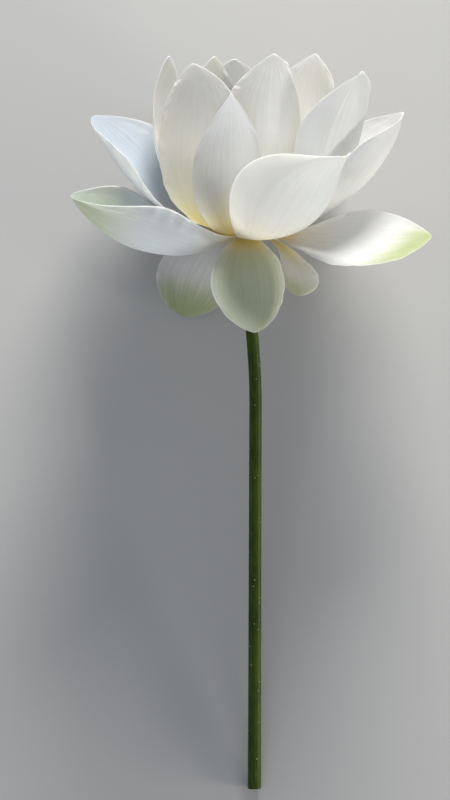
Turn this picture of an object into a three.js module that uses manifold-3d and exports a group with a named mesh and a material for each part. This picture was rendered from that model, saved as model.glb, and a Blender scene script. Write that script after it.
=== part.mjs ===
// A white lotus flower (Nelumbo nucifera), cut with a long stalk and laid on a surface.
// The bloom is built standing, with its axis along +Z and its open front towards -Y. The whole
// flower is then tipped over on its back, so that two back petals and the cut end of the stalk
// touch the surface, which is the plane Z = 0. Millimetres and degrees.
import * as THREE from "three";
import { mergeVertices } from "three/addons/utils/BufferGeometryUtils.js";
import Module from "manifold-3d";

const wasm = await Module();
wasm.setup();

// ---- Driving dimensions --------------------------------------------------------------------

// Stalk: a round rod that leans a little below the bloom, with small prickles and, at the cut
// end, the open mouths of its air canals.
const STALK_LENGTH = 338;
const STALK_NECK_RADIUS = 5.6;
const STALK_TOP_RADIUS = 3.6;
const STALK_FOOT_RADIUS = 3.9;
const STALK_NECK_LENGTH = 14;
const STALK_LEAN = 6;
const STALK_SAG = 1.5;
const STALK_SIDES = 14;
const STALK_RINGS = 18;
const PRICKLE_COUNT = 26;
const PRICKLE_HEIGHT = 1;
const PRICKLE_FOOT_RADIUS = 0.55;
const PRICKLE_TIP_RADIUS = 0.12;
const PRICKLE_ROOT = 0.5;
const PRICKLE_RISE = 0.3;
const CANAL_DEPTH = 14;
const CANAL_RINGS = [
  { count: 4, reach: 1.55, radius: 0.75, turn: 20 },
  { count: 7, reach: 2.95, radius: 0.38, turn: 0 },
];

// Torus: the short axis that carries the petals, with the young seed pod on it.
const AXIS_RADIUS = 7;
const AXIS_HEIGHT = 13;
const POD_RADIUS = 14;
const POD_TOP = 38;
const POD_SIDES = 24;
const POD_DOME = 0.8;
const CARPEL_RINGS = [
  { count: 1, reach: 0 },
  { count: 6, reach: 5 },
  { count: 11, reach: 10 },
];
const CARPEL_RADIUS = 0.95;

// Stamens: three rows on a low collar round the torus, at heights above its petals.
const STAMEN_ROWS = [
  { count: 18, height: 1.0, lean: 31 },
  { count: 18, height: 1.9, lean: 28 },
  { count: 16, height: 2.8, lean: 25 },
];
const STAMEN_LENGTH = 26;
const FILAMENT_RADIUS = 0.42;
const ANTHER_RADIUS = 0.8;

// Petals: a claw rooted on the torus, a broad blade and a short point.
const PETAL_THICKNESS = 0.9;
const CLEARANCE = 0.4;
const CLAW_WIDTH = 8;
const PETAL_ROWS = 11;
const PETAL_COLUMNS = 8;
const TIP_SHARE = 0.995;

// Layers from the outside in, with the form that their petals share. height is that of the claws
// on the torus. rise is the angle of the midrib above the horizontal at the claw, the belly and
// the tip. cup is how far the blade bends across, if it were as wide there as at its widest, at
// the claw and at the tip. widest is where along the blade it is widest, and blunt how full its
// outline is (lower is fuller).
const LAYERS = {
  outer: {
    height: 1.5, length: 80, width: 48,
    rise: [-20, -55, -50], cup: [40, 50], widest: 0.6, blunt: 0.7,
  },
  spread: {
    height: 3.5, length: 110, width: 58,
    rise: [-10, 40, 75], cup: [80, 80], widest: 0.6, blunt: 0.75,
  },
  open: {
    height: 5.5, length: 120, width: 84,
    rise: [-5, 40, 70], cup: [80, 170], widest: 0.65, blunt: 0.6,
  },
  middle: {
    height: 7.5, length: 120, width: 70,
    rise: [10, 70, 75], cup: [70, 80], widest: 0.6, blunt: 0.75,
  },
  inner: {
    height: 9.5, length: 110, width: 62,
    rise: [10, 75, 100], cup: [100, 80], widest: 0.6, blunt: 0.7,
  },
  heart: {
    height: 11, length: 112, width: 50,
    rise: [10, 80, 110], cup: [100, 80], widest: 0.6, blunt: 0.7,
  },
};

// Each petal: the way it faces, and where it departs from its layer. azimuth 0 faces the front,
// positive to the right. roll turns the blade about its midrib, sway swings its tip sideways, and
// lift moves its claw up or down, clear of its neighbours' claws.
const PETALS = [
  { name: "petal_front_drooping", layer: "outer", azimuth: 0, sway: 10, rise: [-10, -45, -35] },
  { name: "petal_left_drooping", layer: "outer", azimuth: -135, sway: -15, roll: 25,
    width: 52, blunt: 0.55 },
  { name: "petal_right_drooping", layer: "outer", azimuth: 110, sway: 20, roll: 10, length: 50,
    width: 58, rise: [-20, -60, -80], blunt: 0.55, lift: -0.5 },

  { name: "petal_left_low", layer: "spread", azimuth: -60, length: 126, width: 94, roll: -5,
    rise: [-25, 15, 60], cup: [180, 200], blunt: 0.5, lift: -0.5 },
  { name: "petal_right_low", layer: "spread", azimuth: 80, length: 108, width: 54, roll: 30,
    sway: -5, rise: [-15, 0, 15], cup: [50, 50] },
  { name: "petal_rest_left", layer: "spread", azimuth: -150, roll: -10, sway: 5 },
  { name: "petal_rest_right", layer: "spread", azimuth: 150, roll: 10, sway: -5 },

  { name: "petal_front_open", layer: "open", azimuth: 20, length: 130, roll: -5, sway: 20,
    rise: [-25, 45, 20], cup: [70, 150], widest: 0.6, blunt: 0.75 },
  { name: "petal_right_raised", layer: "open", azimuth: 95, width: 90 },
  { name: "petal_left_raised", layer: "open", azimuth: -105, length: 114, roll: -5,
    rise: [-5, 40, 60], cup: [80, 130], lift: 0.5 },
  { name: "petal_back_middle", layer: "open", azimuth: 180, length: 106, width: 48,
    rise: [5, 60, 85], cup: [80, 80] },

  { name: "petal_right_cup", layer: "middle", azimuth: 70, length: 128, roll: -20,
    rise: [-5, 65, 70], cup: [70, 130], widest: 0.65 },
  { name: "petal_right_back", layer: "middle", azimuth: 135, length: 117, width: 74 },
  { name: "petal_front_upright", layer: "middle", azimuth: -10, width: 50, roll: 30, sway: 10,
    rise: [-25, 75, 90], blunt: 0.9, lift: 0.5 },
  { name: "petal_left_far", layer: "middle", azimuth: -130, length: 110, width: 48,
    rise: [0, 60, 90] },

  { name: "petal_left_cup", layer: "inner", azimuth: -40, length: 130, width: 60, roll: 20,
    sway: -10, rise: [-30, 90, 60], cup: [60, 70], widest: 0.65, lift: 0.5 },
  { name: "petal_back_right", layer: "inner", azimuth: -170 },

  { name: "petal_centre_cup", layer: "heart", azimuth: 25, sway: -5, length: 118, width: 66,
    rise: [20, 85, 75], cup: [150, 100], blunt: 0.85 },
  { name: "petal_left_back", layer: "heart", azimuth: -100, sway: -15, length: 122, width: 56,
    rise: [0, 75, 100], cup: [50, 60], lift: -0.5 },
  { name: "petal_back_left", layer: "heart", azimuth: -145, sway: 10, lift: 0.5 },
].map((petal) => ({ roll: 0, sway: 0, lift: 0, ...LAYERS[petal.layer], ...petal }));

const LOOKS = {
  petal: { color: 0xf4f2ea, roughness: 0.55 },
  receptacle: { color: 0xd9c94a, roughness: 0.6 },
  stamens: { color: 0xf2d35a, roughness: 0.6 },
  stalk: { color: 0x6d7f3a, roughness: 0.5 },
};

// ---- Helpers -------------------------------------------------------------------------------

const radians = THREE.MathUtils.degToRad;
const { lerp, smoothstep } = THREE.MathUtils;

// Repeatable random numbers from 0 to 1.
function randomNumbers(seed) {
  let state = seed;
  return () => {
    state = (state * 1664525 + 1013904223) % 4294967296;
    return state / 4294967296;
  };
}

// A value that passes through three given ones at the start, the middle and the end.
function through([start, middle, end], s) {
  return (
    start * (1 - s) * (1 - 2 * s) + middle * 4 * s * (1 - s) + end * s * (2 * s - 1)
  );
}

function indexedGeometry(points, faces) {
  return new THREE.BufferGeometry()
    .setAttribute("position", new THREE.Float32BufferAttribute(points.flatMap((p) => p.toArray()), 3))
    .setIndex(faces);
}

function solidFrom(geometry) {
  const plain = geometry.clone();
  plain.deleteAttribute("normal");
  plain.deleteAttribute("uv");
  const merged = mergeVertices(plain, 1e-4);
  const mesh = new wasm.Mesh({
    numProp: 3,
    vertProperties: merged.attributes.position.array,
    triVerts: new Uint32Array(merged.index.array),
  });
  return new wasm.Manifold(mesh);
}

function geometryFrom(solid) {
  const { vertProperties, triVerts } = solid.getMesh();
  return new THREE.BufferGeometry()
    .setAttribute("position", new THREE.BufferAttribute(new Float32Array(vertProperties), 3))
    .setIndex(Array.from(triVerts));
}

const fuse = (pieces) => pieces.reduce((whole, piece) => whole.add(piece));

function namedMesh(name, geometry, look) {
  const material = new THREE.MeshStandardMaterial({ ...look, metalness: 0 });
  const mesh = new THREE.Mesh(geometry, material);
  mesh.name = name;
  return mesh;
}

// A closed rod round the given centres, each with its own radius, with flat ends. Its rings lie
// square to the rod, and the first direction across is kept as straight as the bends allow.
function rodGeometry(centres, radii, sides, firstAcross) {
  const points = [];
  const faces = [];
  let across = firstAcross.clone();
  centres.forEach((centre, i) => {
    const before = centres[Math.max(i - 1, 0)];
    const after = centres[Math.min(i + 1, centres.length - 1)];
    const along = after.clone().sub(before).normalize();
    across = across.addScaledVector(along, -across.dot(along)).normalize();
    const side = along.clone().cross(across);
    for (let j = 0; j < sides; j++) {
      const turn = (2 * Math.PI * j) / sides;
      points.push(
        centre
          .clone()
          .addScaledVector(across, radii[i] * Math.cos(turn))
          .addScaledVector(side, radii[i] * Math.sin(turn)),
      );
    }
  });
  for (let i = 0; i < centres.length - 1; i++) {
    for (let j = 0; j < sides; j++) {
      const a = i * sides + j;
      const b = i * sides + ((j + 1) % sides);
      faces.push(a, b, b + sides, a, b + sides, a + sides);
    }
  }
  const last = (centres.length - 1) * sides;
  for (let j = 1; j < sides - 1; j++) {
    faces.push(0, j + 1, j, last, last + j, last + j + 1);
  }
  return indexedGeometry(points, faces);
}

// ---- Petals --------------------------------------------------------------------------------

function halfWidth(petal, s) {
  const power = Math.log(0.5) / Math.log(petal.widest);
  const arch = Math.max(Math.sin(Math.PI * s ** power), 0);
  const blade = petal.width * arch ** petal.blunt;
  return 0.5 * (blade + CLAW_WIDTH * (1 - s) ** 5);
}

// Where the midrib runs, and which way the blade faces along it.
function midribFrames(petal) {
  const steps = 60;
  const frames = [];
  const azimuth = radians(petal.azimuth);
  const reach = AXIS_RADIUS + CLEARANCE;
  const position = new THREE.Vector3(
    Math.sin(azimuth) * reach,
    -Math.cos(azimuth) * reach,
    petal.height + petal.lift,
  );
  for (let i = 0; i <= steps; i++) {
    const s = i / steps;
    const heading = azimuth + radians(petal.sway) * s;
    const rise = radians(through(petal.rise, s));
    const roll = radians(petal.roll) * smoothstep(s, 0, 0.5);
    const out = new THREE.Vector3(Math.sin(heading), -Math.cos(heading), 0);
    const level = new THREE.Vector3(Math.cos(heading), Math.sin(heading), 0);
    const along = out.clone().multiplyScalar(Math.cos(rise)).setZ(Math.sin(rise));
    const upward = out.clone().multiplyScalar(-Math.sin(rise)).setZ(Math.cos(rise));
    frames.push({
      position: position.clone(),
      across: level.clone().applyAxisAngle(along, roll),
      face: upward.clone().applyAxisAngle(along, roll),
    });
    position.addScaledVector(along, petal.length / steps);
  }
  return frames;
}

// The middle surface of a petal and its normal, for s from claw to tip and t from edge to edge.
function petalSurface(petal) {
  const frames = midribFrames(petal);
  const [clawCup, tipCup] = petal.cup;
  return (s, t) => {
    const { position, across, face } = frames[Math.round(s * (frames.length - 1))];
    const curvature = radians(lerp(clawCup, tipCup, s)) / petal.width;
    const bend = curvature * halfWidth(petal, s) * t;
    const point = position
      .clone()
      .addScaledVector(across, Math.sin(bend) / curvature)
      .addScaledVector(face, (1 - Math.cos(bend)) / curvature);
    const normal = face
      .clone()
      .multiplyScalar(Math.cos(bend))
      .addScaledVector(across, -Math.sin(bend));
    return { point, normal };
  };
}

// A closed thin solid on both sides of a surface, split into triangles alike on both faces.
function bladeGeometry(surface, rows, columns, thickness) {
  const points = [];
  for (const side of [1, -1]) {
    for (const s of rows) {
      for (let j = 0; j <= columns; j++) {
        const { point, normal } = surface(s, (2 * j) / columns - 1);
        points.push(point.addScaledVector(normal, (side * thickness) / 2));
      }
    }
  }
  const stride = columns + 1;
  const under = rows.length * stride;
  const faces = [];
  for (let i = 0; i < rows.length - 1; i++) {
    for (let j = 0; j < columns; j++) {
      const a = i * stride + j;
      const b = a + 1;
      const c = b + stride;
      const d = a + stride;
      const split = 2 * j < columns ? [a, d, b, b, d, c] : [a, c, b, a, d, c];
      faces.push(...split);
      for (let k = 0; k < 6; k += 3) {
        faces.push(under + split[k], under + split[k + 2], under + split[k + 1]);
      }
    }
  }
  const border = [];
  for (let j = 0; j < columns; j++) border.push(j);
  for (let i = 0; i < rows.length - 1; i++) border.push(i * stride + columns);
  for (let j = columns; j > 0; j--) border.push((rows.length - 1) * stride + j);
  for (let i = rows.length - 1; i > 0; i--) border.push(i * stride);
  border.forEach((a, i) => {
    const b = border[(i + 1) % border.length];
    faces.push(a, b, under + b, a, under + b, under + a);
  });
  return indexedGeometry(points, faces);
}

// Rows crowd towards the tip, where the outline turns fastest.
const petalRows = Array.from({ length: PETAL_ROWS + 1 }, (_, i) => {
  const even = i / PETAL_ROWS;
  return TIP_SHARE * lerp(even, Math.sin(0.5 * Math.PI * even), 0.25);
});

function makePetal(petal) {
  const geometry = bladeGeometry(petalSurface(petal), petalRows, PETAL_COLUMNS, PETAL_THICKNESS);
  return namedMesh(petal.name, geometry, LOOKS.petal);
}

// ---- Torus and seed pod --------------------------------------------------------------------

function makeReceptacle() {
  const bottom = CLEARANCE;
  const profile = [
    [0, bottom],
    [STALK_NECK_RADIUS, bottom],
    [AXIS_RADIUS, 1.2],
    [AXIS_RADIUS, AXIS_HEIGHT],
    [AXIS_RADIUS + 0.4, AXIS_HEIGHT + 4],
    [lerp(AXIS_RADIUS, POD_RADIUS, 0.3), AXIS_HEIGHT + 9],
    [lerp(AXIS_RADIUS, POD_RADIUS, 0.72), POD_TOP - 8],
    [POD_RADIUS, POD_TOP - 2],
    [POD_RADIUS - 0.8, POD_TOP - 0.4],
    [POD_RADIUS - 2.5, POD_TOP],
    [0, POD_TOP + POD_DOME],
  ].map(([x, y]) => new THREE.Vector2(x, y));
  const body = solidFrom(new THREE.LatheGeometry(profile, POD_SIDES).rotateX(Math.PI / 2));
  const carpels = [];
  for (const { count, reach } of CARPEL_RINGS) {
    for (let i = 0; i < count; i++) {
      const turn = (2 * Math.PI * i) / count;
      const dome = new THREE.SphereGeometry(CARPEL_RADIUS, 7, 5).scale(1, 1, 1.3);
      const height = POD_TOP + POD_DOME * (1 - reach / POD_RADIUS);
      carpels.push(solidFrom(dome.translate(reach * Math.cos(turn), reach * Math.sin(turn), height)));
    }
  }
  return namedMesh("receptacle", geometryFrom(fuse([body, ...carpels])), LOOKS.receptacle);
}

// ---- Stamens -------------------------------------------------------------------------------

// One stamen: a thin filament, a longer anther and a small pale tip, leaning out from the torus.
function stamenGeometry(root, turn, lean, length) {
  const shares = [0, 0.45, 0.52, 0.86, 0.9, 1];
  const radii = [1, 1, ANTHER_RADIUS / FILAMENT_RADIUS, 0.9 * (ANTHER_RADIUS / FILAMENT_RADIUS), 1, 0.7]
    .map((share) => share * FILAMENT_RADIUS);
  const out = new THREE.Vector3(Math.cos(turn), Math.sin(turn), 0);
  const up = new THREE.Vector3(0, 0, 1);
  const centres = shares.map((share) => {
    const angle = radians(lean) * (1.15 - 0.3 * share);
    return root
      .clone()
      .addScaledVector(out, Math.sin(angle) * length * share)
      .addScaledVector(up, Math.cos(angle) * length * share);
  });
  return rodGeometry(centres, radii, 4, new THREE.Vector3(-out.y, out.x, 0));
}

function makeStamens() {
  const random = randomNumbers(7);
  const inner = AXIS_RADIUS + 0.75;
  const outer = AXIS_RADIUS + 2.1;
  const foot = AXIS_HEIGHT + 0.3;
  const head = AXIS_HEIGHT + 3.4;
  const band = [
    [inner, foot],
    [outer, foot],
    [outer - 0.4, head],
    [inner, head],
    [inner, foot],
  ].map(([x, y]) => new THREE.Vector2(x, y));
  const pieces = [solidFrom(new THREE.LatheGeometry(band, POD_SIDES).rotateX(Math.PI / 2))];
  STAMEN_ROWS.forEach(({ count, height, lean }, row) => {
    for (let i = 0; i < count; i++) {
      const turn = (2 * Math.PI * (i + row / STAMEN_ROWS.length)) / count;
      const reach = lerp(inner, outer, 0.5);
      const root = new THREE.Vector3(
        Math.cos(turn) * reach,
        Math.sin(turn) * reach,
        AXIS_HEIGHT + height,
      );
      const length = STAMEN_LENGTH * (0.9 + 0.16 * random());
      pieces.push(solidFrom(stamenGeometry(root, turn, lean + 3 * (random() - 0.5), length)));
    }
  });
  return namedMesh("stamens", geometryFrom(fuse(pieces)), LOOKS.stamens);
}

// ---- Stalk ---------------------------------------------------------------------------------

// The line of the stalk, for a share of its length below the bloom.
function stalkCentre(share) {
  const lean = STALK_LEAN * (smoothstep(share, 0, 0.3) - 0.15 * share);
  const sag = STALK_SAG * Math.sin(Math.PI * share);
  return new THREE.Vector3(lean, sag, -STALK_LENGTH * share);
}

function stalkRadius(share) {
  const flare = 1 - smoothstep(STALK_LENGTH * share, 0, STALK_NECK_LENGTH);
  const rod = lerp(STALK_TOP_RADIUS, STALK_FOOT_RADIUS, share);
  return lerp(rod, STALK_NECK_RADIUS, flare);
}

function prickleSolid(share, turn) {
  const out = new THREE.Vector3(Math.cos(turn), Math.sin(turn), 0);
  const foot = stalkCentre(share).addScaledVector(out, stalkRadius(share) - PRICKLE_ROOT);
  const tip = foot.clone().addScaledVector(out, PRICKLE_HEIGHT + PRICKLE_ROOT);
  tip.z += PRICKLE_RISE;
  const radii = [PRICKLE_FOOT_RADIUS, PRICKLE_TIP_RADIUS];
  return solidFrom(rodGeometry([foot, tip], radii, 5, new THREE.Vector3(0, 0, 1)));
}

function canalSolids() {
  const mouth = stalkCentre(1);
  const solids = [];
  for (const { count, reach, radius, turn } of CANAL_RINGS) {
    for (let i = 0; i < count; i++) {
      const angle = radians(turn) + (2 * Math.PI * i) / count;
      const offset = new THREE.Vector3(Math.cos(angle) * reach, Math.sin(angle) * reach, 0);
      const start = mouth.clone().add(offset).setZ(mouth.z - 1);
      const end = stalkCentre(1 - CANAL_DEPTH / STALK_LENGTH).add(offset);
      solids.push(solidFrom(rodGeometry([start, end], [radius, radius], 6, new THREE.Vector3(1, 0, 0))));
    }
  }
  return solids;
}

function makeStalk() {
  const random = randomNumbers(11);
  const neckRings = 3;
  const neckShare = STALK_NECK_LENGTH / STALK_LENGTH;
  const shares = [];
  for (let i = 0; i < neckRings; i++) shares.push((neckShare * i) / neckRings);
  for (let i = 0; i <= STALK_RINGS; i++) shares.push(lerp(neckShare, 1, i / STALK_RINGS));
  const rod = rodGeometry(
    shares.map(stalkCentre),
    shares.map(stalkRadius),
    STALK_SIDES,
    new THREE.Vector3(1, 0, 0),
  );
  const prickles = [];
  for (let i = 0; i < PRICKLE_COUNT; i++) {
    const share = lerp(0.12, 0.93, (i + 0.7 * random()) / PRICKLE_COUNT);
    prickles.push(prickleSolid(share, 2 * Math.PI * random()));
  }
  let solid = fuse([solidFrom(rod), ...prickles]);
  for (const canal of canalSolids()) solid = solid.subtract(canal);
  return namedMesh("stalk", geometryFrom(solid), LOOKS.stalk);
}

// ---- The flower, laid down -----------------------------------------------------------------

// The lowest point of some meshes when the flower lies back by the given angle from upright.
function lowest(meshes, angle) {
  let least = Infinity;
  const point = new THREE.Vector3();
  const axis = new THREE.Vector3(1, 0, 0);
  for (const mesh of meshes) {
    const corners = mesh.geometry.attributes.position;
    for (let i = 0; i < corners.count; i++) {
      point.fromBufferAttribute(corners, i).applyAxisAngle(axis, -angle);
      least = Math.min(least, point.z);
    }
  }
  return least;
}

const petals = PETALS.map(makePetal);
const stalk = makeStalk();
const bloom = new THREE.Group().add(...petals, makeReceptacle(), makeStamens());
const flower = new THREE.Group().add(bloom, stalk);

// It is tipped back until the cut end of the stalk is as low as the two petals that it rests on.
const restPetals = petals.filter((petal) => petal.name.startsWith("petal_rest"));
let [tooLittle, tooMuch] = [radians(70), radians(88)];
for (let i = 0; i < 40; i++) {
  const angle = (tooLittle + tooMuch) / 2;
  if (lowest([stalk], angle) < lowest(restPetals, angle)) tooLittle = angle;
  else tooMuch = angle;
}
flower.rotation.x = -tooMuch;

// The origin is under the middle of the flower, on the surface.
flower.updateMatrixWorld(true);
const reach = new THREE.Box3().setFromObject(flower, true);
flower.position.set(
  -(reach.min.x + reach.max.x) / 2,
  -(reach.min.y + reach.max.y) / 2,
  -lowest([...restPetals, stalk], tooMuch),
);

export default new THREE.Group().add(flower);
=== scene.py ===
"""A white lotus flower, cut with a long stalk and laid on its back: its looks, round the frame.

The bloom is shaped standing, in millimetres, with its axis along +Z and its open front towards
-Y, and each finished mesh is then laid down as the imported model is, in metres.
"""
import math
import random

import bpy
from mathutils import Matrix, Vector, noise


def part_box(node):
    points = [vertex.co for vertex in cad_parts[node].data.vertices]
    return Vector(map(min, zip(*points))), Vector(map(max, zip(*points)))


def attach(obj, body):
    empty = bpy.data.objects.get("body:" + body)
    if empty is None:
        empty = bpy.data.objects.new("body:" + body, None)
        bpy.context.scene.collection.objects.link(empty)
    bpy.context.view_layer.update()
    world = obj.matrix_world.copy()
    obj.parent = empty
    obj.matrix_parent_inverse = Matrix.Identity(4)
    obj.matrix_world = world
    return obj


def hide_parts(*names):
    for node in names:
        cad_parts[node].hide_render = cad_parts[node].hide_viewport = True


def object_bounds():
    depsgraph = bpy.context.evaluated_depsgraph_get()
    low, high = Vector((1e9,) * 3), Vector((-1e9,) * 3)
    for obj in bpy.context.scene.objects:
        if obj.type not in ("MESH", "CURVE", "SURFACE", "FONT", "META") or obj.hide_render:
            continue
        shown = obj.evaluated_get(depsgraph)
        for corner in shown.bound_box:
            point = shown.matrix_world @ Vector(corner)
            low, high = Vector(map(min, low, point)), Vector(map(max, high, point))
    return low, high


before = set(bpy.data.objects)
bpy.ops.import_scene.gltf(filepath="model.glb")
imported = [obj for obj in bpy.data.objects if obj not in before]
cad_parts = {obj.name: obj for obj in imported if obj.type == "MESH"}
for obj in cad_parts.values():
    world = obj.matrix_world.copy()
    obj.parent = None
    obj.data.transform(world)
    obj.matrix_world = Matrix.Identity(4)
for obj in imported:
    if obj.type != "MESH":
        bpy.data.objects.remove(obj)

cad_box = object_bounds()
MM = 0.001

# ---- Driving dimensions of the flower, in millimetres and degrees ---------------------------

STALK_LENGTH = 338
STALK_NECK_RADIUS = 5.6
STALK_TOP_RADIUS = 3.6
STALK_FOOT_RADIUS = 3.9
STALK_NECK_LENGTH = 14
STALK_LEAN = 6
STALK_SAG = 1.5
CANAL_DEPTH = 14
CANAL_RINGS = [
    {"count": 4, "reach": 1.55, "radius": 0.75, "turn": 20},
    {"count": 7, "reach": 2.95, "radius": 0.38, "turn": 0},
]

AXIS_RADIUS = 7
AXIS_HEIGHT = 13
POD_RADIUS = 14
POD_TOP = 38
CARPEL_RINGS = [
    {"count": 1, "reach": 0},
    {"count": 6, "reach": 5},
    {"count": 11, "reach": 10},
]

CLEARANCE = 0.4
CLAW_WIDTH = 8
PETAL_THICKNESS = 0.9
TIP_SHARE = 0.995

# The form that the petals of a layer share, from the outside in.
LAYERS = {
    "outer": dict(height=1.5, length=80, width=48,
                  rise=(-20, -55, -50), cup=(40, 50), widest=0.6, blunt=0.7),
    "spread": dict(height=3.5, length=110, width=58,
                   rise=(-10, 40, 75), cup=(80, 80), widest=0.6, blunt=0.75),
    "open": dict(height=5.5, length=120, width=84,
                 rise=(-5, 40, 70), cup=(80, 170), widest=0.65, blunt=0.6),
    "middle": dict(height=7.5, length=120, width=70,
                   rise=(10, 70, 75), cup=(70, 80), widest=0.6, blunt=0.75),
    "inner": dict(height=9.5, length=110, width=62,
                  rise=(10, 75, 100), cup=(100, 80), widest=0.6, blunt=0.7),
    "heart": dict(height=11, length=112, width=50,
                  rise=(10, 80, 110), cup=(100, 80), widest=0.6, blunt=0.7),
}

# Each petal: the way it faces, and where it departs from its layer.
PETALS = [
    dict(name="petal_front_drooping", layer="outer", azimuth=0, sway=10,
         rise=(-10, -45, -35)),
    dict(name="petal_left_drooping", layer="outer", azimuth=-135, sway=-15, roll=25,
         width=52, blunt=0.55),
    dict(name="petal_right_drooping", layer="outer", azimuth=110, sway=20, roll=10, length=50,
         width=58, rise=(-20, -60, -80), blunt=0.55, lift=-0.5),

    dict(name="petal_left_low", layer="spread", azimuth=-60, length=126, width=94, roll=-5,
         rise=(-25, 15, 60), cup=(180, 200), blunt=0.5, lift=-0.5),
    dict(name="petal_right_low", layer="spread", azimuth=80, length=108, width=54, roll=30,
         sway=-5, rise=(-15, 0, 15), cup=(50, 50)),
    dict(name="petal_rest_left", layer="spread", azimuth=-150, roll=-10, sway=5),
    dict(name="petal_rest_right", layer="spread", azimuth=150, roll=10, sway=-5),

    dict(name="petal_front_open", layer="open", azimuth=20, length=130, roll=-5, sway=20,
         rise=(-25, 45, 20), cup=(70, 150), widest=0.6, blunt=0.75),
    dict(name="petal_right_raised", layer="open", azimuth=95, width=90),
    dict(name="petal_left_raised", layer="open", azimuth=-105, length=114, roll=-5,
         rise=(-5, 40, 60), cup=(80, 130), lift=0.5),
    dict(name="petal_back_middle", layer="open", azimuth=180, length=106, width=48,
         rise=(5, 60, 85), cup=(80, 80)),

    dict(name="petal_right_cup", layer="middle", azimuth=70, length=128, roll=-20,
         rise=(-5, 65, 70), cup=(70, 130), widest=0.65),
    dict(name="petal_right_back", layer="middle", azimuth=135, length=117, width=74),
    dict(name="petal_front_upright", layer="middle", azimuth=-10, width=50, roll=30, sway=10,
         rise=(-25, 75, 90), blunt=0.9, lift=0.5),
    dict(name="petal_left_far", layer="middle", azimuth=-130, length=110, width=48,
         rise=(0, 60, 90)),

    dict(name="petal_left_cup", layer="inner", azimuth=-40, length=130, width=60, roll=20,
         sway=-10, rise=(-30, 90, 60), cup=(60, 70), widest=0.65, lift=0.5),
    dict(name="petal_back_right", layer="inner", azimuth=-170),

    dict(name="petal_centre_cup", layer="heart", azimuth=25, sway=-5, length=118, width=66,
         rise=(20, 85, 75), cup=(150, 100), blunt=0.85),
    dict(name="petal_left_back", layer="heart", azimuth=-100, sway=-15, length=122, width=56,
         rise=(0, 75, 100), cup=(50, 60), lift=-0.5),
    dict(name="petal_back_left", layer="heart", azimuth=-145, sway=10, lift=0.5),
]
PETALS = [dict(roll=0, sway=0, lift=0) | LAYERS[petal["layer"]] | petal for petal in PETALS]

# What only the finished surface shows. gold is how far along the blade the claw's gold fades
# out, and cool how far its white is darkened to blue grey, which is painted shade. green is how
# green the blade's end is, and green_from where along the blade that begins, with green_side
# leaning it to one margin. hood is how far the tip leans inwards. crinkle roughens the margin
# towards the tip. nib is the length of the point, which hook bends inwards. fuller widens one
# side of the blade. A fold bends one margin along part of the blade.
PLAIN_FINISH = dict(
    gold=0.5, painted_shade=0.15, green=0, green_from=0.6, green_side=0,
    hood=2, crinkle=1, nib=0.5, hook=0, fuller=0, fold=None,
)
FINISHES = {
    # Olive green from the claw on, and blue grey: the petal's own faint green, darkened as painted
    # shade.
    "petal_front_drooping": dict(
        gold=0.55, painted_shade=0.5, green=0.65, green_from=-0.15, nib=0.3, hood=0,
        fold=dict(side=1, inner=0.62, angle=-32, start=0.25, end=1.0),
    ),
    "petal_left_drooping": dict(painted_shade=0.2, green=0.9, green_from=0.42, nib=0, hood=0),
    # Its gold runs far along the blade: the claw's own gold, carried on as painted warm light.
    "petal_right_drooping": dict(
        gold=1.2, painted_shade=0, green=0.7, green_from=0.5, nib=0, hood=0, fuller=0.35
    ),
    "petal_left_low": dict(
        gold=0.4, painted_shade=1.3, green=0.6, green_from=0.4, green_side=-0.4, nib=0, hood=0
    ),
    "petal_right_low": dict(painted_shade=0, green=1.0, green_from=0.5, green_side=-0.3, nib=0, hood=1),
    "petal_rest_left": dict(painted_shade=0.5, green=0.6, hood=1),
    "petal_rest_right": dict(green=0.6, hood=1),
    "petal_left_raised": dict(gold=0.4, painted_shade=1.2, nib=0.3, hood=0),
    "petal_front_open": dict(painted_shade=0.75, nib=0.3, crinkle=0.5, hood=0),
    "petal_right_cup": dict(painted_shade=0.5, nib=1.0, hook=0.9),
    "petal_left_cup": dict(gold=1.0, painted_shade=0, crinkle=2.5, nib=0.2, hood=2.5),
    "petal_front_upright": dict(gold=1.1, painted_shade=0.1, hood=3),
    "petal_centre_cup": dict(
        gold=0.7, painted_shade=0, crinkle=3.5, nib=0, hood=0.5,
        fold=dict(side=1, inner=0.66, angle=-60, start=0.5, end=1.0),
    ),
    "petal_right_back": dict(crinkle=2.0),
    "petal_back_left": dict(painted_shade=0.5),
    "petal_back_right": dict(painted_shade=0.8, crinkle=0.5),
}

# ---- Small helpers --------------------------------------------------------------------------


def lerp(a, b, share):
    return a + (b - a) * share


def smoothstep(value, low, high):
    x = min(max((value - low) / (high - low), 0), 1)
    return x * x * (3 - 2 * x)


def through(values, s):
    """A value that passes through three given ones at the start, the middle and the end."""
    start, middle, end = values
    return start * (1 - s) * (1 - 2 * s) + middle * 4 * s * (1 - s) + end * s * (2 * s - 1)


def turned(vector, axis, angle):
    return Matrix.Rotation(angle, 3, axis) @ vector


def deselect_all():
    for thing in bpy.context.selected_objects:
        thing.select_set(False)


def start_piece(name):
    """The primitive that was just added, under its piece's name."""
    piece = bpy.context.active_object
    piece.name = name
    piece.data.name = name
    return piece


def add_modifier(piece, kind, **settings):
    bpy.context.view_layer.objects.active = piece
    modifier = piece.modifiers.new(kind.lower(), kind)
    for key, value in settings.items():
        setattr(modifier, key, value)


def apply_modifiers(piece):
    deselect_all()
    piece.select_set(True)
    bpy.context.view_layer.objects.active = piece
    for modifier in list(piece.modifiers):
        bpy.ops.object.modifier_apply(modifier=modifier.name)


def join(pieces, name):
    deselect_all()
    for piece in pieces:
        piece.select_set(True)
    bpy.context.view_layer.objects.active = pieces[0]
    bpy.ops.object.join()
    return start_piece(name)


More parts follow.
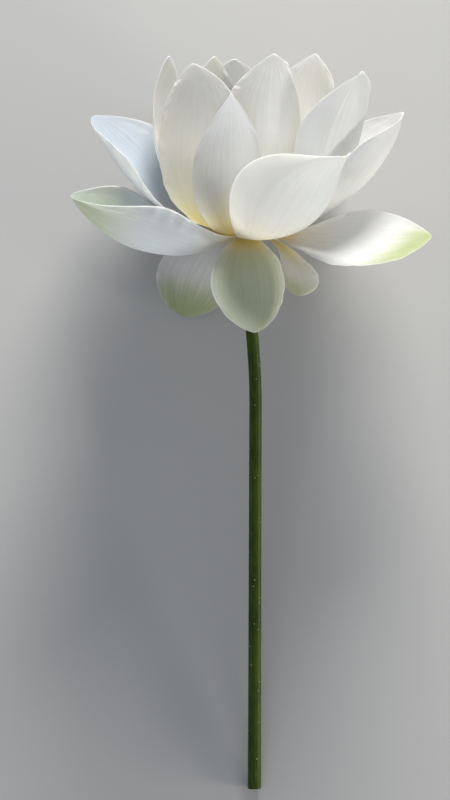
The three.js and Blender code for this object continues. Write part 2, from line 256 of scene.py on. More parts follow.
def copied(pattern):
    """A copy of a pattern with a mesh of its own."""
    copy = pattern.copy()
    copy.data = pattern.data.copy()
    bpy.context.collection.objects.link(copy)
    return copy


def shade_smooth(piece, angle=180):
    deselect_all()
    piece.select_set(True)
    bpy.context.view_layer.objects.active = piece
    bpy.ops.object.shade_smooth_by_angle(angle=math.radians(angle))


# ---- Shader maths ---------------------------------------------------------------------------


class Value:
    """A number socket that takes part in sums. Each sum adds its Math node."""

    def __init__(self, tree, socket):
        self.tree = tree
        self.socket = socket

    def math(self, operation, *others):
        inputs = dict(enumerate([self, *others]))
        return self.tree.add("ShaderNodeMath", inputs, operation=operation)

    def __add__(self, other):
        return self.math("ADD", other)

    def __mul__(self, other):
        return self.math("MULTIPLY", other)

    __radd__ = __add__
    __rmul__ = __mul__

    def above(self, low, high):
        """0 at low and 1 at high, with a soft start and end."""
        inputs = {"Value": self, "From Min": low, "From Max": high}
        return self.tree.add("ShaderNodeMapRange", inputs, interpolation_type="SMOOTHSTEP")


class Finish:
    """A node material under construction."""

    def __init__(self, name):
        self.material = bpy.data.materials.new(name)
        self.material.use_nodes = True
        self.nodes = self.material.node_tree.nodes
        self.links = self.material.node_tree.links
        self.shader = self.nodes["Principled BSDF"]

    def add(self, kind, inputs=None, output=0, **settings):
        node = self.nodes.new(kind)
        for key, value in settings.items():
            setattr(node, key, value)
        for key, value in (inputs or {}).items():
            self.plug(node.inputs[key], value)
        return Value(self, node.outputs[output])

    def plug(self, socket, value):
        if isinstance(value, Value):
            self.links.new(value.socket, socket)
        else:
            socket.default_value = value

    def colour(self, factor, low, high):
        """Mixes two colours, each a fixed one or the result of another mix."""
        node = self.nodes.new("ShaderNodeMix")
        node.data_type = "RGBA"
        sockets = {"Factor": factor, "A": low, "B": high}
        for socket in node.inputs:
            fits = socket.type == ("VALUE" if socket.name == "Factor" else "RGBA")
            if fits and socket.name in sockets and socket.enabled:
                self.plug(socket, sockets[socket.name])
        return Value(self, next(o for o in node.outputs if o.type == "RGBA"))

    def noise(self, vector, scale, detail=3, roughness=0.5):
        inputs = {"Vector": vector, "Scale": scale, "Detail": detail, "Roughness": roughness}
        return self.add("ShaderNodeTexNoise", inputs)

    def stretched(self, vector, scale):
        return self.add("ShaderNodeMapping", {"Vector": vector, "Scale": scale})

    def bump(self, height, strength, distance):
        inputs = {"Height": height, "Strength": strength, "Distance": distance}
        return self.add("ShaderNodeBump", inputs)

    def set(self, **sockets):
        for key, value in sockets.items():
            self.plug(self.shader.inputs[key.replace("_", " ")], value)


def rgb(red, green, blue):
    return (red, green, blue, 1.0)


def petal_finish():
    """White tissue with fine lengthwise veins, golden at the claw, green at some tips, blue grey
    painted shade and a painted highlight on the margin.
    """
    finish = Finish("lotus petal")
    uv = finish.add("ShaderNodeTexCoord", output="UV")
    place = finish.add("ShaderNodeTexCoord", output="Object")
    claw = finish.add("ShaderNodeAttribute", output="Fac", attribute_name="claw")
    green = finish.add("ShaderNodeAttribute", output="Fac", attribute_name="green")
    margin = finish.add("ShaderNodeAttribute", output="Fac", attribute_name="margin")
    painted_shade = finish.add("ShaderNodeAttribute", output="Fac", attribute_name="painted_shade")

    fine = finish.noise(finish.stretched(uv, (110, 2.0, 1)), 1, detail=2)
    broad = finish.noise(finish.stretched(uv, (30, 1.1, 1)), 1, detail=3)
    cloud = finish.noise(place, 38, detail=4)
    veins = fine.above(0.5, 0.66) * 0.65 + broad.above(0.48, 0.7) * 0.35

    white = finish.colour(cloud.above(0.35, 0.7), rgb(0.76, 0.76, 0.73), rgb(0.84, 0.84, 0.82))
    # Painted shade: the white is darkened towards blue grey.
    with_painted_shade = finish.colour(painted_shade * 0.8, white, rgb(0.41, 0.48, 0.57))
    creamy = finish.colour(claw * 0.8, with_painted_shade, rgb(0.84, 0.77, 0.58))
    veined = finish.colour(veins * 0.35, creamy, rgb(0.62, 0.63, 0.58))
    # The green is the tips' own colour, made a dark olive that also stands in for painted shade.
    tip = (green * (0.8 + broad * 0.4)).above(0.05, 1.0)
    tipped = finish.colour(tip * 0.85, veined, rgb(0.24, 0.31, 0.09))
    golden = (claw * claw * (0.7 + broad * 0.6)).above(0.15, 0.9)
    warmed = finish.colour(golden * 0.9, tipped, rgb(0.80, 0.56, 0.13))
    # A painted highlight: the margin is mixed lighter towards white.
    with_painted_highlight = finish.colour(margin * 0.35, warmed, rgb(0.90, 0.90, 0.86))

    relief = fine * 0.6 + broad * 0.8 + cloud * 0.3
    finish.set(
        Base_Color=with_painted_highlight,
        Roughness=0.42 + veins * 0.16,
        Normal=finish.bump(relief, 0.35, 0.0006),
        Subsurface_Weight=0.9,
        Subsurface_Radius=(1.0, 0.95, 0.82),
        Subsurface_Scale=0.004,
        Sheen_Weight=0.15,
        Sheen_Roughness=0.5,
    )
    return finish.material


def stalk_finish():
    """Olive green skin with fine lengthwise streaks and pale flecks."""
    finish = Finish("lotus stalk")
    place = finish.add("ShaderNodeTexCoord", output="Object")
    streaks = finish.noise(finish.stretched(place, (1, 0.06, 1)), 900, detail=3)
    flecks = finish.noise(place, 1500, detail=1)
    cloud = finish.noise(place, 45, detail=3)

    skin = finish.colour(cloud.above(0.3, 0.7), rgb(0.026, 0.056, 0.002), rgb(0.055, 0.098, 0.006))
    streaked = finish.colour(streaks.above(0.45, 0.75) * 0.5, skin, rgb(0.10, 0.14, 0.02))
    flecked = finish.colour(flecks.above(0.68, 0.76) * 0.5, streaked, rgb(0.24, 0.22, 0.09))
    finish.set(
        Base_Color=flecked,
        Roughness=0.45 + cloud * 0.2,
        Specular_IOR_Level=0.2,
        Normal=finish.bump(streaks + flecks * 0.4, 0.4, 0.0003),
    )
    return finish.material


def prickle_finish():
    finish = Finish("stalk prickle")
    place = finish.add("ShaderNodeTexCoord", output="Object")
    cloud = finish.noise(place, 300, detail=2)
    skin = finish.colour(cloud.above(0.3, 0.7), rgb(0.30, 0.30, 0.13), rgb(0.48, 0.42, 0.24))
    finish.set(Base_Color=skin, Roughness=0.5)
    return finish.material


def pith_finish():
    """The cut face of the stalk: pale wet pith."""
    finish = Finish("stalk pith")
    place = finish.add("ShaderNodeTexCoord", output="Object")
    grain = finish.noise(place, 1400, detail=3)
    pith = finish.colour(grain.above(0.3, 0.7), rgb(0.44, 0.47, 0.24), rgb(0.66, 0.66, 0.44))
    finish.set(Base_Color=pith, Roughness=0.4, Normal=finish.bump(grain, 0.4, 0.0002))
    return finish.material


def pod_finish():
    """Waxy yellow green, with fine ridges down its sides."""
    finish = Finish("seed pod")
    place = finish.add("ShaderNodeTexCoord", output="Object")
    cloud = finish.noise(place, 140, detail=4)
    grain = finish.noise(place, 900, detail=2)
    skin = finish.colour(cloud.above(0.3, 0.7), rgb(0.52, 0.54, 0.10), rgb(0.68, 0.68, 0.18))
    finish.set(
        Base_Color=skin,
        Roughness=0.5 + grain * 0.15,
        Normal=finish.bump(grain, 0.3, 0.0003),
        Subsurface_Weight=0.2,
        Subsurface_Radius=(1.0, 0.9, 0.3),
        Subsurface_Scale=0.002,
    )
    return finish.material


def carpel_finish():
    finish = Finish("carpel")
    place = finish.add("ShaderNodeTexCoord", output="Object")
    cloud = finish.noise(place, 600, detail=2)
    skin = finish.colour(cloud.above(0.3, 0.7), rgb(0.70, 0.52, 0.08), rgb(0.86, 0.70, 0.20))
    finish.set(Base_Color=skin, Roughness=0.4)
    return finish.material


def powder_finish(name, dark, light):
    """Soft tissue of the stamens, powdery with pollen."""
    finish = Finish(name)
    place = finish.add("ShaderNodeTexCoord", output="Object")
    grains = finish.noise(place, 2600, detail=2)
    cloud = finish.noise(place, 120, detail=2)
    skin = finish.colour(cloud.above(0.3, 0.7), rgb(*dark), rgb(*light))
    finish.set(
        Base_Color=skin,
        Roughness=0.65 + grains * 0.2,
        Normal=finish.bump(grains, 0.5, 0.0002),
    )
    return finish.material


PETAL = petal_finish()
STALK = stalk_finish()
PRICKLE = prickle_finish()
PITH = pith_finish()
POD = pod_finish()
CARPEL = carpel_finish()
FILAMENT = powder_finish("filament", (0.80, 0.74, 0.50), (0.90, 0.87, 0.70))
ANTHER = powder_finish("anther", (0.78, 0.48, 0.07), (0.92, 0.66, 0.16))
ANTHER_TIP = powder_finish("anther tip", (0.84, 0.82, 0.72), (0.93, 0.92, 0.86))

# ---- How the flower lies --------------------------------------------------------------------

MIDRIB_STEPS = 60
REST_ROWS = 30
REST_COLUMNS = 8
TIPPED_LEAST = 70
TIPPED_MOST = 88
HALVINGS = 30


def half_width(petal, s):
    """Half the blade's width at s: an arch out of a narrow claw, widest where the petal says."""
    power = math.log(0.5) / math.log(petal["widest"])
    arch = max(math.sin(math.pi * s ** power), 0)
    return 0.5 * (petal["width"] * arch ** petal["blunt"] + CLAW_WIDTH * (1 - s) ** 5)


def midrib_frames(petal):
    """Where the midrib runs, and which way the blade faces along it."""
    azimuth = math.radians(petal["azimuth"])
    reach = AXIS_RADIUS + CLEARANCE
    place = Vector((
        math.sin(azimuth) * reach,
        -math.cos(azimuth) * reach,
        petal["height"] + petal["lift"],
    ))
    frames = []
    for i in range(MIDRIB_STEPS + 1):
        s = i / MIDRIB_STEPS
        heading = azimuth + math.radians(petal["sway"]) * s
        rise = math.radians(through(petal["rise"], s))
        roll = math.radians(petal["roll"]) * smoothstep(s, 0, 0.5)
        out = Vector((math.sin(heading), -math.cos(heading), 0))
        level = Vector((math.cos(heading), math.sin(heading), 0))
        along = out * math.cos(rise) + Vector((0, 0, math.sin(rise)))
        upward = out * -math.sin(rise) + Vector((0, 0, math.cos(rise)))
        frames.append((place.copy(), turned(level, along, roll), turned(upward, along, roll)))
        place += along * (petal["length"] / MIDRIB_STEPS)
    return frames


def petal_point(petal, frames, s, t):
    """The middle surface of a petal and its normal, for s from claw to tip, t across it."""
    exact = s * (len(frames) - 1)
    first = min(int(exact), len(frames) - 2)
    place, across, face = (
        lerp(a, b, exact - first) for a, b in zip(frames[first], frames[first + 1])
    )
    curvature = math.radians(lerp(*petal["cup"], s)) / petal["width"]
    bend = curvature * half_width(petal, s) * t
    point = place + across * (math.sin(bend) / curvature)
    point += face * ((1 - math.cos(bend)) / curvature)
    normal = face * math.cos(bend) - across * math.sin(bend)
    return point, normal.normalized()


def stalk_centre(share):
    """A point of the stalk's middle line, for share from its neck to its cut end."""
    lean = STALK_LEAN * (smoothstep(share, 0, 0.3) - 0.15 * share)
    sag = STALK_SAG * math.sin(math.pi * share)
    return Vector((lean, sag, -STALK_LENGTH * share))


def stalk_radius(share):
    flare = 1 - smoothstep(STALK_LENGTH * share, 0, STALK_NECK_LENGTH)
    rod = lerp(STALK_TOP_RADIUS, STALK_FOOT_RADIUS, share)
    return lerp(rod, STALK_NECK_RADIUS, flare)


def lying_matrix():
    """From the standing bloom, in millimetres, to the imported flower, in metres.

    It is tipped back until the cut end of its stalk is as low as the petals that it rests on.
    """
    rests = []
    for petal in PETALS:
        if petal["name"].startswith("petal_rest"):
            frames = midrib_frames(petal)
            for i in range(REST_ROWS + 1):
                s = TIP_SHARE * i / REST_ROWS
                for j in range(REST_COLUMNS + 1):
                    point, normal = petal_point(petal, frames, s, 2 * j / REST_COLUMNS - 1)
                    rests += [point + normal * side * PETAL_THICKNESS / 2 for side in (1, -1)]
    foot = stalk_centre(1) + Vector((0, STALK_FOOT_RADIUS, 0))

    def lowest(points, angle):
        return min((Matrix.Rotation(-angle, 3, "X") @ point).z for point in points)

    too_little, too_much = math.radians(TIPPED_LEAST), math.radians(TIPPED_MOST)
    for _ in range(HALVINGS):
        angle = (too_little + too_much) / 2
        if lowest([foot], angle) < lowest(rests, angle):
            too_little = angle
        else:
            too_much = angle
    tip_back = Matrix.Rotation(-too_much, 4, "X")

    # The bloom's root comes from the frame: the middle of the torus across, the neck of the
    # stalk along, and the surface below.
    pod_low, pod_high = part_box("receptacle")
    neck_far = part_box("stalk")[1].y
    root = Vector((
        (pod_low.x + pod_high.x) / 2,
        neck_far - STALK_NECK_RADIUS * math.cos(too_much) * MM,
        -lowest(rests, too_much) * MM,
    ))
    return Matrix.Translation(root) @ Matrix.Scale(MM, 4) @ tip_back


LAID = lying_matrix()


def lay_down(piece, node):
    """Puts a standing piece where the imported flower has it, in place of a solid of the frame."""
    piece.data.transform(LAID)
    # No fold of the tissue dips below the surface that it lies on.
    for vertex in piece.data.vertices:
        vertex.co.z = max(vertex.co.z, 0)
    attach(piece, "root")
    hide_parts(node)


# ---- Petals ---------------------------------------------------------------------------------

PETAL_COLUMNS = 76
PETAL_ROWS = 96
# How far the rows crowd together towards the tip, and where the last of them is.
ROW_CROWDING = 0.6
FINE_TIP = 0.9994

# The tissue thins to a part of its thickness from half way across to its margin.
TISSUE_THICKNESS = 0.62
MARGIN_SHARE = 0.25

# The living blade's relief: broad swells, ripples along the margin, and veins.
SWELL_SIZE = 26
SWELL_DEPTH = 0.9
RIPPLE_DEPTH = 0.6
FINE_RIPPLE_DEPTH = 0.25
RIPPLE_FROM = 0.6
VEIN_DEPTH = 0.11

HOOD_FROM = 0.7
NIB_FROM = 0.985
FOLD_EASE_IN = 0.25
FOLD_EASE_OUT = 0.2
FOLD_SOFTNESS = 0.12


def vein_relief(t):
    """Shallow ridges that run along the blade, closer together towards its sides."""
    return 0.5 * math.cos(34 * t) + 0.3 * math.cos(57 * t + 1.3) + 0.2 * math.cos(91 * t + 0.4)


def blade_relief(point, s, t, seed, crinkle):
    """How far the living blade stands off its plain form at one place."""
    edge = abs(t)
    drift = Vector((seed * 7.3, seed * 3.1, 0))
    swell = noise.noise(point / SWELL_SIZE + drift) * SWELL_DEPTH
    ripple = noise.noise(Vector((t * 3, s * 16, seed))) * RIPPLE_DEPTH
    fine = noise.noise(Vector((t * 9, s * 45, seed))) * FINE_RIPPLE_DEPTH
    margin = (ripple + fine * smoothstep(s, 0.6, 0.9)) * smoothstep(edge, RIPPLE_FROM, 1) * crinkle
    vein = vein_relief(t) * VEIN_DEPTH * (1 - 0.5 * edge)
    fade = smoothstep(s, 0.06, 0.3) * smoothstep(1 - s, 0, 0.12)
    return fade * (swell + margin + vein)


def blade_marks(finish, s, t, seed):
    """What the petals' material reads at one place on the blade."""
    streak = noise.noise(Vector((t * 9, s * 2, seed + 0.5)))
    begin = finish["green_from"] + 0.04 * streak - finish["green_side"] * t * 0.5
    return {
        "claw": 1 - smoothstep(s, 0, finish["gold"] + 0.06 * streak),
        "green": finish["green"] * smoothstep(s, begin, begin + 0.5),
        # The margin mark feeds a painted highlight along the blade's edge.
        "margin": smoothstep(abs(t), 0.94, 1),
        # Blue grey painted shade, fading in from the claw.
        "painted_shade": finish["painted_shade"] * smoothstep(s, 0.05, 0.4),
    }


def folded(petal, frames, s, t, fold):
    """A point of the blade with one margin bent along a line that runs down the blade."""
    point, normal = petal_point(petal, frames, s, t)
    past = t * fold["side"] - fold["inner"]
    reach = smoothstep(s, fold["start"], fold["start"] + FOLD_EASE_IN)
    reach *= 1 - smoothstep(s, fold["end"] - FOLD_EASE_OUT, fold["end"])
    if past <= 0 or reach <= 0:
        return point, normal
    hinge, _ = petal_point(petal, frames, s, fold["inner"] * fold["side"])
    further, _ = petal_point(petal, frames, min(s + 0.01, 1), fold["inner"] * fold["side"])
    axis = (further - hinge).normalized()
    bend = smoothstep(past, 0, FOLD_SOFTNESS)
    angle = -math.radians(fold["angle"]) * fold["side"] * reach * bend
    return hinge + turned(point - hinge, axis, angle), turned(normal, axis, angle)


def make_petal(petal, seed):
    finish = PLAIN_FINISH | FINISHES.get(petal["name"], {})
    frames = midrib_frames(petal)
    bpy.ops.mesh.primitive_grid_add(
        x_subdivisions=PETAL_COLUMNS, y_subdivisions=PETAL_ROWS, size=1, calc_uvs=True
    )
    piece = start_piece(petal["name"] + "_tissue")
    body = piece.vertex_groups.new(name="body")
    marks = {"claw": [], "green": [], "margin": [], "painted_shade": []}
    tip_place, tip_normal = petal_point(petal, frames, 1, 0)
    tip_along = (tip_place - petal_point(petal, frames, 0.97, 0)[0]).normalized()
    for vertex in piece.data.vertices:
        t = 2 * vertex.co.x
        wide = t * (1 + finish["fuller"] * smoothstep(t, 0, 1))
        even = vertex.co.y + 0.5
        s = FINE_TIP * lerp(even, math.sin(0.5 * math.pi * even), ROW_CROWDING)
        if finish["fold"]:
            point, normal = folded(petal, frames, s, wide, finish["fold"])
        else:
            point, normal = petal_point(petal, frames, s, wide)
        point += normal * blade_relief(point, s, t, seed, finish["crinkle"])
        point += normal * finish["hood"] * (max(s - HOOD_FROM, 0) / (1 - HOOD_FROM)) ** 2
        nib = smoothstep(s, NIB_FROM, FINE_TIP)
        point += tip_along * finish["nib"] * nib + tip_normal * finish["hook"] * nib * nib
        vertex.co = point
        thinned = (1 - MARGIN_SHARE) * smoothstep(abs(t), 0.5, 1)
        body.add([vertex.index], 1 - thinned, "REPLACE")
        for key, value in blade_marks(finish, s, t, seed).items():
            marks[key].append(value)
    for key, values in marks.items():
        piece.data.attributes.new(key, "FLOAT", "POINT").data.foreach_set("value", values)
    piece.data.materials.append(PETAL)
    add_modifier(
        piece, "SOLIDIFY", thickness=TISSUE_THICKNESS, offset=0,
        vertex_group="body", thickness_vertex_group=MARGIN_SHARE,
    )
    apply_modifiers(piece)
    shade_smooth(piece)
    lay_down(piece, petal["name"])


# ---- Seed pod -------------------------------------------------------------------------------

# A profile is a list of rings, each a radius and a height, from the bottom up.
DOME_PROFILE = [(1.0, -0.6), (1.08, 0.3), (0.95, 0.8), (0.6, 1.25), (0.3, 1.4)]
STIGMA_PROFILE = [(0.3, 1.2), (0.42, 1.5), (0.5, 1.68), (0.38, 1.76), (0.2, 1.74), (0.08, 1.6)]
POD_WAIST = AXIS_HEIGHT + 9
POD_SHOULDER = POD_TOP - 2
POD_RIBS = 16
RIB_SHARE = 0.012
SWELL_SHARE = 0.02
CROWN_RISE = 0.4


def lathe(name, profile, sides):
    """A closed turned body, from a disc that is drawn out ring by ring along its profile."""
    radius, height = profile[0]
    bpy.ops.mesh.primitive_circle_add(
        vertices=sides, radius=radius, fill_type="NGON", location=(0, 0, height)
    )
    piece = start_piece(name)
    bpy.ops.object.transform_apply(location=True, rotation=True, scale=True)
    bpy.ops.object.mode_set(mode="EDIT")
    bpy.ops.mesh.select_mode(type="FACE")
    bpy.ops.mesh.select_all(action="SELECT")
    for next_radius, next_height in profile[1:]:
        bpy.ops.mesh.extrude_region_move(
            TRANSFORM_OT_translate={"value": (0, 0, next_height - height)}
        )
        share = next_radius / radius
        bpy.ops.transform.resize(value=(share, share, 1), center_override=(0, 0, next_height))
        radius, height = next_radius, next_height
    bpy.ops.mesh.select_all(action="SELECT")
    bpy.ops.mesh.normals_make_consistent(inside=False)
    bpy.ops.object.mode_set(mode="OBJECT")
    return piece


def make_carpel():
    """One carpel at the origin: a raised rim, the dome in it, and the pitted stigma on top."""
    dome = lathe("carpel_dome", DOME_PROFILE, 16)
    dome.data.materials.append(CARPEL)
    stigma = lathe("stigma", STIGMA_PROFILE, 12)
    stigma.data.materials.append(CARPEL)
    bpy.ops.mesh.primitive_torus_add(
        major_radius=1.5, minor_radius=0.38, major_segments=20, minor_segments=8,
        location=(0, 0, 0),
    )
    rim = start_piece("carpel_rim")
    bpy.ops.object.mode_set(mode="EDIT")
    bpy.ops.transform.resize(value=(1, 1.06, 0.8))
    bpy.ops.object.mode_set(mode="OBJECT")
    rim.data.materials.append(POD)
    return join([dome, stigma, rim], "carpel_pattern")


def make_pod():
    """The torus with the pod that widens out of it, ribbed down its sides, and its carpels."""
    profile = [
        (STALK_NECK_RADIUS, CLEARANCE),
        (AXIS_RADIUS, 1.2),
        (AXIS_RADIUS, AXIS_HEIGHT),
        (AXIS_RADIUS + 0.4, AXIS_HEIGHT + 4),
        (lerp(AXIS_RADIUS, POD_RADIUS, 0.3), POD_WAIST),
        (lerp(AXIS_RADIUS, POD_RADIUS, 0.72), POD_TOP - 8),
        (POD_RADIUS, POD_SHOULDER),
        (POD_RADIUS - 0.8, POD_TOP - 0.4),
        (POD_RADIUS - 2.5, POD_TOP),
        (0.5, POD_TOP + CROWN_RISE),
    ]
    body = lathe("pod_body", profile, 64)
    add_modifier(body, "BEVEL", width=0.6, segments=3, limit_method="ANGLE")
    apply_modifiers(body)
    for vertex in body.data.vertices:
        turn = math.atan2(vertex.co.y, vertex.co.x)
        side = smoothstep(vertex.co.z, AXIS_HEIGHT, POD_WAIST)
        side *= 1 - smoothstep(vertex.co.z, POD_SHOULDER, POD_TOP)
        rib = RIB_SHARE * math.cos(POD_RIBS * turn)
        swell = 1 + side * (rib + SWELL_SHARE * noise.noise(vertex.co / 6))
        vertex.co.x *= swell
        vertex.co.y *= swell
    body.data.materials.append(POD)

    pattern = make_carpel()
    carpels = []
    for ring in CARPEL_RINGS:
        for i in range(ring["count"]):
            turn = 2 * math.pi * i / ring["count"]
            height = POD_TOP + CROWN_RISE * (1 - ring["reach"] / POD_RADIUS)
            place = Vector((math.cos(turn), math.sin(turn), 0)) * ring["reach"]
            carpel = copied(pattern)
            carpel.data.transform(
                Matrix.Translation(place + Vector((0, 0, height))) @ Matrix.Rotation(turn, 4, "Z")
            )
            carpels.append(carpel)
    bpy.data.objects.remove(pattern)
    pod = join([body, *carpels], "seed_pod")
    shade_smooth(pod, 40)
    lay_down(pod, "receptacle")


# ---- Stamens --------------------------------------------------------------------------------

STAMEN_ROWS = [
    {"count": 44, "height": 1.0, "lean": 33},
    {"count": 44, "height": 1.6, "lean": 30},
    {"count": 40, "height": 2.2, "lean": 27},
    {"count": 36, "height": 2.9, "lean": 24},
]
STAMEN_LENGTH = 26
# How far one stamen may differ from the next: round the torus, in lean, in size and sideways.
TURN_SPREAD = 0.05
LEAN_SPREAD = 3
SIZES = (0.86, 1.06)
SIDE_SPREAD = 0.12
# A stamen leans most at its root, and less towards its tip.
ROOT_LEAN = 1.15
LEAN_LOSS = 0.3
COLLAR_INNER = AXIS_RADIUS + 0.75
COLLAR_OUTER = AXIS_RADIUS + 2.1
COLLAR_HEIGHT = AXIS_HEIGHT + 1.85
COLLAR_STRETCH = 2.2
THREAD_PROFILE = [(0.013, 0), (0.010, 0.47)]
ANTHER_PROFILE = [(0.009, 0.45), (0.021, 0.49), (0.023, 0.62), (0.020, 0.84), (0.010, 0.88)]
CLUB_PROFILE = [(0.008, 0.87), (0.018, 0.94), (0.017, 0.975), (0.007, 1.0)]
STAMEN_SIDES = 6


def make_stamen():
    """One stamen along +Z, one unit long: its thread, its anther and its pale club tip."""
    thread = lathe("thread", THREAD_PROFILE, STAMEN_SIDES)
    thread.data.materials.append(FILAMENT)
    anther = lathe("anther", ANTHER_PROFILE, STAMEN_SIDES)
    anther.data.materials.append(ANTHER)
    club = lathe("club", CLUB_PROFILE, STAMEN_SIDES)
    club.data.materials.append(ANTHER_TIP)
    return join([thread, anther, club], "stamen_pattern")


def bend_stamen(stamen, root, out, lean, length, sideways):
    """Makes a straight stamen its real length, leaning out from its root and a little aside."""
    beside = Vector((-out.y, out.x, 0))
    for vertex in stamen.data.vertices:
        share = vertex.co.z
        angle = lean * (ROOT_LEAN - LEAN_LOSS * share)
        along = out * math.sin(angle) + Vector((0, 0, math.cos(angle)))
        level = out * math.cos(angle) - Vector((0, 0, math.sin(angle)))
        centre = root + along * (length * share) + beside * (sideways * length * share * share)
        vertex.co = centre + (level * vertex.co.x + beside * vertex.co.y) * length


def make_stamens():
    """Rows of stamens that lean out round the torus, on the collar that carries them."""
    pick = random.Random(7)
    pattern = make_stamen()
    collar_radius = (COLLAR_INNER + COLLAR_OUTER) / 2
    stamens = []
    for row, form in enumerate(STAMEN_ROWS):
        for i in range(form["count"]):
            turn = 2 * math.pi * (i + row / len(STAMEN_ROWS)) / form["count"]
            turn += pick.uniform(-TURN_SPREAD, TURN_SPREAD)
            lean = math.radians(form["lean"] + pick.uniform(-LEAN_SPREAD, LEAN_SPREAD))
            length = STAMEN_LENGTH * pick.uniform(*SIZES)
            sideways = pick.uniform(-SIDE_SPREAD, SIDE_SPREAD)
            out = Vector((math.cos(turn), math.sin(turn), 0))
            root = out * collar_radius + Vector((0, 0, AXIS_HEIGHT + form["height"]))
            stamen = copied(pattern)
            bend_stamen(stamen, root, out, lean, length, sideways)
            stamens.append(stamen)
    bpy.data.objects.remove(pattern)

    bpy.ops.mesh.primitive_torus_add(
        major_radius=collar_radius, minor_radius=(COLLAR_OUTER - COLLAR_INNER) / 2,
        major_segments=64, minor_segments=12, location=(0, 0, COLLAR_HEIGHT),
    )
    collar = start_piece("collar")
    bpy.ops.transform.resize(value=(1, 1, COLLAR_STRETCH))
    bpy.ops.object.transform_apply(location=True, rotation=True, scale=True)
    collar.data.materials.append(FILAMENT)
    ring = join([collar, *stamens], "stamen_ring")
    shade_smooth(ring, 50)
    lay_down(ring, "stamens")


# ---- Stalk ----------------------------------------------------------------------------------

STALK_SIDES = 48
STALK_RINGS = 170
STALK_RIBS = 12
RIB_DEPTH = 0.05
DRILL_OVERSHOOT = 2
PRICKLE_COUNT = 90
PRICKLE_PROFILE = [(0.5, 0), (0.3, 0.3), (0.15, 0.7), (0.04, 1.1)]
PRICKLE_TALLNESS = (0.6, 1.2)
PRICKLE_SPAN = (0.06, 0.97)
PRICKLE_SINK = 0.15
PRICKLE_DROOP = 0.25


def place_prickle(pattern, pick, share):
    """Copies a prickle on to the skin, taller or shorter, and leaning a little to the foot."""
    turn = pick.uniform(0, 2 * math.pi)
    tall = pick.uniform(*PRICKLE_TALLNESS)
    out = Vector((math.cos(turn), math.sin(turn), 0))
    place = stalk_centre(share) + out * (stalk_radius(share) - PRICKLE_SINK)
    lean = out - Vector((0, 0, PRICKLE_DROOP))
    upright = lean.to_track_quat("Z", "Y").to_matrix().to_4x4()
    prickle = copied(pattern)
    prickle.data.transform(
        Matrix.Translation(place) @ upright @ Matrix.Diagonal((1, 1, tall, 1))
    )
    return prickle


def cut_canals(rod):
    """Opens the air canals in the cut end of the stalk."""
    foot = stalk_centre(1)
    upper = stalk_centre(1 - CANAL_DEPTH / STALK_LENGTH)
    line = foot - upper
    drills = []
    for ring in CANAL_RINGS:
        for i in range(ring["count"]):
            angle = math.radians(ring["turn"]) + 2 * math.pi * i / ring["count"]
            offset = Vector((math.cos(angle), math.sin(angle), 0)) * ring["reach"]
            bpy.ops.mesh.primitive_cylinder_add(
                vertices=20, radius=ring["radius"], depth=line.length + DRILL_OVERSHOOT,
                location=(foot + upper) / 2 + offset,
                rotation=line.to_track_quat("Z", "Y").to_euler(),
            )
            drill = start_piece("canal")
            bpy.ops.object.transform_apply(location=True, rotation=True, scale=True)
            drill.data.materials.append(PITH)
            drills.append(drill)
    drill = join(drills, "canals")
    add_modifier(rod, "BOOLEAN", object=drill, operation="DIFFERENCE", solver="EXACT")
    apply_modifiers(rod)
    bpy.data.objects.remove(drill)


def make_stalk():
    """The ribbed, leaning rod with its cut end, its air canals and its prickles."""
    bpy.ops.mesh.primitive_cylinder_add(
        vertices=STALK_SIDES, radius=1, depth=1, end_fill_type="NGON", location=(0, 0, 0)
    )
    rod = start_piece("stalk_rod")
    bpy.ops.object.mode_set(mode="EDIT")
    bpy.ops.mesh.select_all(action="DESELECT")
    bpy.ops.object.mode_set(mode="OBJECT")
    for edge in rod.data.edges:
        ends = [rod.data.vertices[i].co.z for i in edge.vertices]
        edge.select = abs(ends[0] - ends[1]) > 0.5
    bpy.ops.object.mode_set(mode="EDIT")
    bpy.ops.mesh.select_mode(type="EDGE")
    bpy.ops.mesh.subdivide_edgering(number_cuts=STALK_RINGS, interpolation="LINEAR")
    bpy.ops.object.mode_set(mode="OBJECT")
    for vertex in rod.data.vertices:
        share = 0.5 - vertex.co.z
        turn = math.atan2(vertex.co.y, vertex.co.x)
        rib = math.cos(STALK_RIBS * turn) + noise.noise(Vector((turn, share * 40, 0)))
        radius = stalk_radius(share) + RIB_DEPTH * rib
        out = Vector((math.cos(turn), math.sin(turn), 0))
        vertex.co = stalk_centre(share) + out * radius
    rod.data.materials.append(STALK)
    rod.data.materials.append(PITH)
    cut_height = -STALK_LENGTH + 0.5
    for face in rod.data.polygons:
        if face.center.z < cut_height and len(face.vertices) > 4:
            face.material_index = 1
    cut_canals(rod)
    pick = random.Random(11)
    pattern = lathe("prickle_pattern", PRICKLE_PROFILE, 8)
    pattern.data.materials.append(PRICKLE)
    prickles = []
    for i in range(PRICKLE_COUNT):
        share = lerp(*PRICKLE_SPAN, (i + 0.8 * pick.random()) / PRICKLE_COUNT)
        prickles.append(place_prickle(pattern, pick, share))
    bpy.data.objects.remove(pattern)
    stalk = join([rod, *prickles], "stalk_skin")
    shade_smooth(stalk, 40)
    lay_down(stalk, "stalk")


# ---- Floor, light and camera ----------------------------------------------------------------


def make_floor():
    """A plain pale surface, far larger than the flower."""
    bpy.ops.mesh.primitive_plane_add(size=80, location=(0, 0, 0))
    floor = start_piece("floor")
    finish = Finish("pale floor")
    finish.set(Base_Color=rgb(0.60, 0.60, 0.59), Roughness=0.9)
    floor.data.materials.append(finish.material)


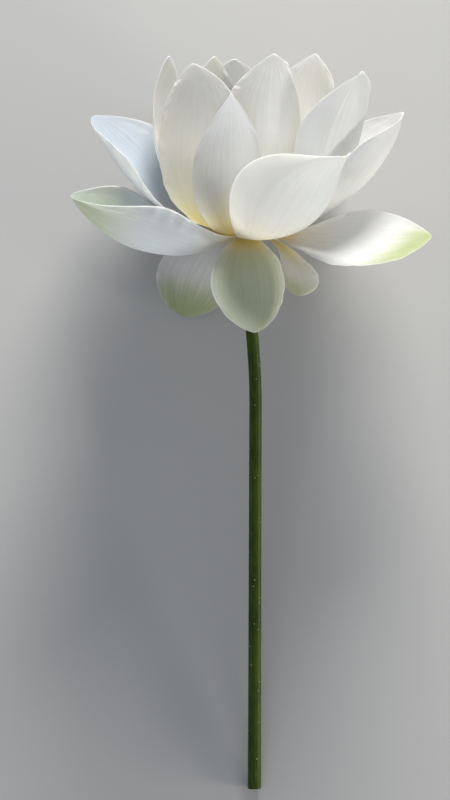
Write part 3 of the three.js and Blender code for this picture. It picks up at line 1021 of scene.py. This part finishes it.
def add_lamp(name, centre, aside, size, power, colour):
    """A round soft lamp that stands aside of the centre and shines on it."""
    data = bpy.data.lights.new(name, "AREA")
    data.shape = "DISK"
    data.size = size
    data.energy = power
    data.color = colour
    lamp = bpy.data.objects.new(name, data)
    bpy.context.collection.objects.link(lamp)
    lamp.location = centre + Vector(aside)
    lamp.rotation_euler = (-Vector(aside)).to_track_quat("-Z", "Y").to_euler()


def make_light(centre):
    """Soft studio light: one lamp beyond the bloom, a weak one above, and one from the right."""
    world = bpy.data.worlds.new("soft studio")
    world.use_nodes = True
    background = world.node_tree.nodes["Background"]
    background.inputs["Color"].default_value = rgb(0.84, 0.89, 1.0)
    background.inputs["Strength"].default_value = 0.27
    bpy.context.scene.world = world
    bpy.context.scene.view_settings.view_transform = "Standard"
    add_lamp("key", centre, (0.25, 1.95, 0.62), size=0.8, power=62, colour=(1.0, 0.97, 0.92))
    add_lamp("fill", centre, (-0.5, -0.2, 2.0), size=2.0, power=4, colour=(0.86, 0.92, 1.0))
    add_lamp("rim", centre, (1.5, -0.5, 0.2), size=0.5, power=11, colour=(1.0, 0.95, 0.85))


VIEW_HEIGHT = 0.480
VIEW_DISTANCE = 12
SENSOR = 36
# The camera's aim, beside the middle of the flower's box.
AIM_ASIDE = Vector((-0.016, 0.0135, 0))


def make_camera(low, high):
    """Straight above the flower, with the bloom at the top, through a long lens."""
    data = bpy.data.cameras.new("camera")
    camera = bpy.data.objects.new("camera", data)
    bpy.context.collection.objects.link(camera)
    data.sensor_fit = "VERTICAL"
    data.sensor_height = SENSOR
    data.lens = SENSOR * VIEW_DISTANCE / VIEW_HEIGHT
    data.clip_end = 30
    axis_height = LAID.translation.z
    centre = Vector(((low.x + high.x) / 2, (low.y + high.y) / 2, axis_height)) + AIM_ASIDE
    camera.location = centre + Vector((0, 0, VIEW_DISTANCE))
    bpy.context.scene.camera = camera
    return centre


# ---- The flower -----------------------------------------------------------------------------

deselect_all()
for index, petal in enumerate(PETALS):
    make_petal(petal, index)
make_pod()
make_stamens()
make_stalk()
make_floor()
make_light(make_camera(*cad_box))
